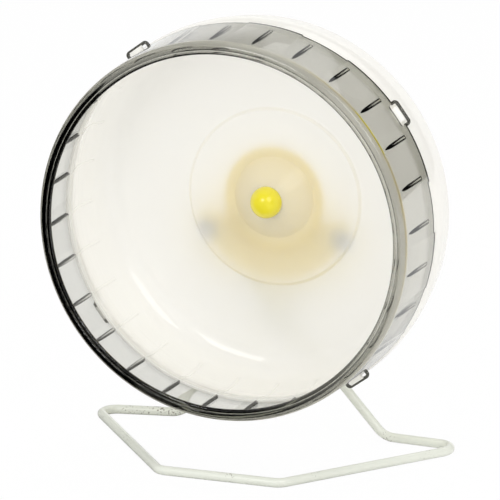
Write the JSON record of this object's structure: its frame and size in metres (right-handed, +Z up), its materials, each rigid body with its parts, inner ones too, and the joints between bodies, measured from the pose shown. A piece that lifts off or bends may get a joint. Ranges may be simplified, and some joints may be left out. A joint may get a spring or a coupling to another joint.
{
  "type": "hamster wheel",
  "caption": "Large solid-floor hamster wheel: a white drum with a clear grey front ring turns on a ball-bearing hub held by a bent wire floor stand with crossed rear legs",
  "frame": {"origin": "Centre of the bounding box on the floor: x = 0 is the wheel's middle plane, z = 0 the floor under the wire", "axes": "+Z up, -Y towards the open front that the animal enters, +X to the right of someone facing the opening; the wheel turns about Y"},
  "size_m": [0.3128, 0.168, 0.3569],
  "materials": {
    "drum_white": "injection-moulded opaque ABS, glossy inside",
    "smoke_clear": "injection-moulded clear polystyrene, grey tinted",
    "hub_yellow": "injection-moulded polypropylene",
    "cap_yellow": "injection-moulded ABS",
    "bearing_steel": "ground bearing steel",
    "ball_chrome": "polished chrome steel",
    "cage_nylon": "moulded nylon",
    "shield_steel": "pressed steel sheet",
    "spring_steel": "blued spring steel",
    "zinc_steel": "zinc-plated steel",
    "coated_wire": "bent steel wire, white powder coat"
  },
  "bodies": {
    "stand": {"front_inner_race": "bearing_steel", "rear_inner_race": "bearing_steel", "inner_spacer": "bearing_steel", "rear_spacer": "bearing_steel", "front_washer": "bearing_steel", "axle_bolt": "zinc_steel", "lock_nut": "zinc_steel", "axle_washer": "zinc_steel", "bearing_holder": "hub_yellow", "holder_cover": "hub_yellow", "cover_screws": "zinc_steel", "wire_end_caps": "spring_steel", "stand_wire": "coated_wire"},
    "wheel": {"drum": "drum_white", "front_ring": "smoke_clear", "hub_carrier": "hub_yellow", "hub_cap": "cap_yellow", "front_outer_race": "bearing_steel", "rear_outer_race": "bearing_steel", "front_bearing_shields": "shield_steel", "rear_bearing_shields": "shield_steel", "outer_spacer": "bearing_steel", "bearing_circlip": "spring_steel"},
    "front_cage": {"front_bearing_balls": "ball_chrome", "front_bearing_cage": "cage_nylon"},
    "rear_cage": {"rear_bearing_balls": "ball_chrome", "rear_bearing_cage": "cage_nylon"}
  },
  "joints": [
    {"name": "wheel_spin", "type": "hinge", "parent": "stand", "child": "wheel", "pos_m": [0, 0.03923, 0.2005], "axis": [0, 1, 0], "continuous": true},
    {"name": "front_cage_spin", "type": "hinge", "parent": "stand", "child": "front_cage", "pos_m": [0, 0.03923, 0.2005], "axis": [0, 1, 0], "continuous": true},
    {"name": "rear_cage_spin", "type": "hinge", "parent": "stand", "child": "rear_cage", "pos_m": [0, 0.04922, 0.2005], "axis": [0, 1, 0], "continuous": true}
  ],
  "couplings": [
    {"joint": "front_cage_spin", "follows": "wheel_spin", "ratio": 0.6323},
    {"joint": "rear_cage_spin", "follows": "wheel_spin", "ratio": 0.6323}
  ]
}
